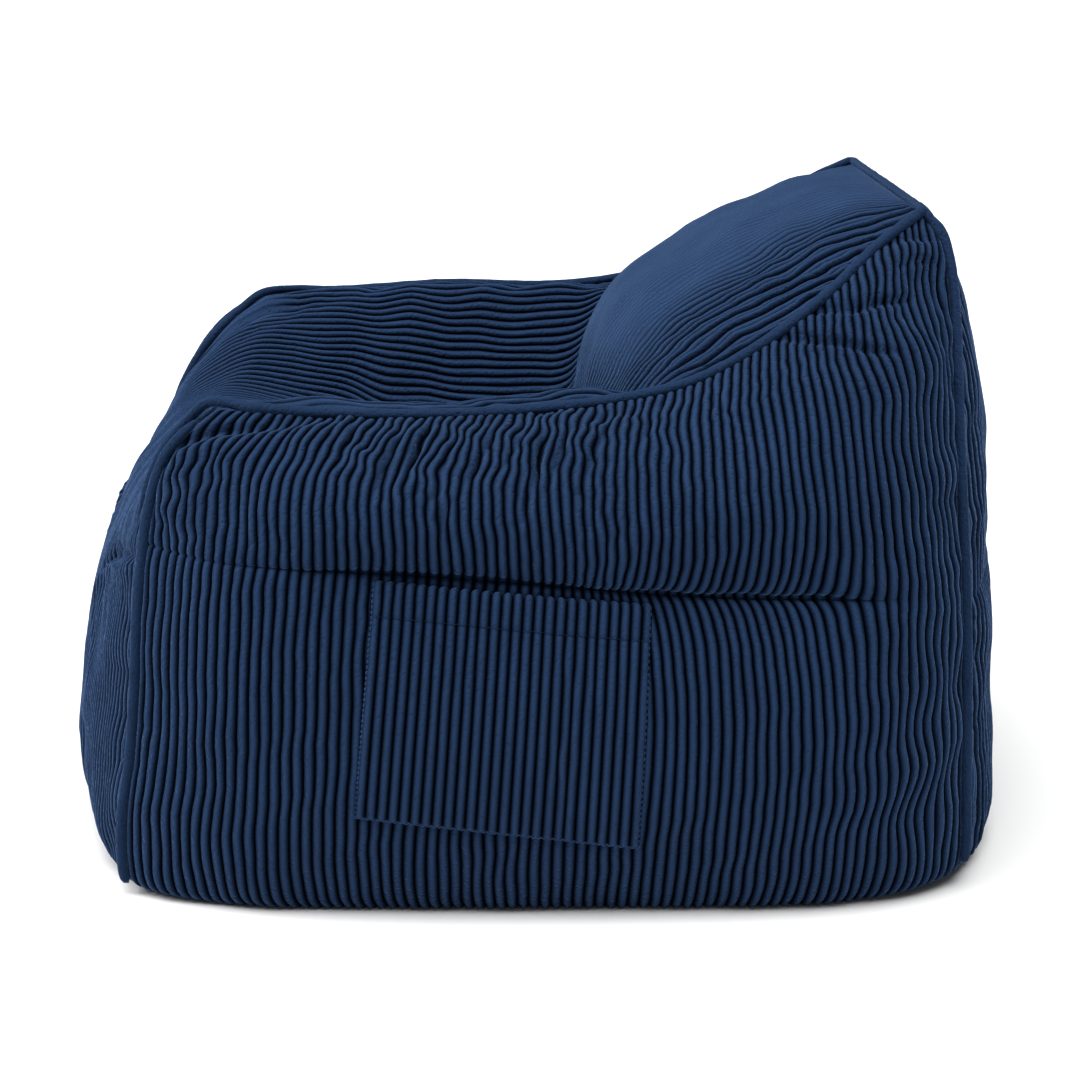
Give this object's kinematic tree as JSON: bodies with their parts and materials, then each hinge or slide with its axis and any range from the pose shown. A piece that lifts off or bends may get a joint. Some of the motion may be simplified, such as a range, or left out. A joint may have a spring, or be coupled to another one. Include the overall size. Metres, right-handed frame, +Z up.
{
  "type": "pouf armchair",
  "caption": "Filled floor armchair of wide-ribbed corduroy with a dished seat, swelling sides, corded seams and a side pocket.",
  "frame": {"origin": "centre of the bounding box at floor level", "axes": "+Z up; the sitter faces -Y, the back is at +Y; the pocket side is +X"},
  "size_m": [0.8886, 0.9516, 0.6458],
  "materials": {
    "corduroy": "navy velvet corduroy with wide ribs",
    "seam_cord": "navy cloth wound round a cord"
  },
  "bodies": {
    "root": {"filled_body": "corduroy", "side_pocket": "corduroy", "near_front_cord": "seam_cord", "near_top_cord": "seam_cord", "near_rear_cord": "seam_cord", "far_front_cord": "seam_cord", "far_top_cord": "seam_cord", "far_rear_cord": "seam_cord", "back_top_cord": "seam_cord"}
  },
  "joints": []
}
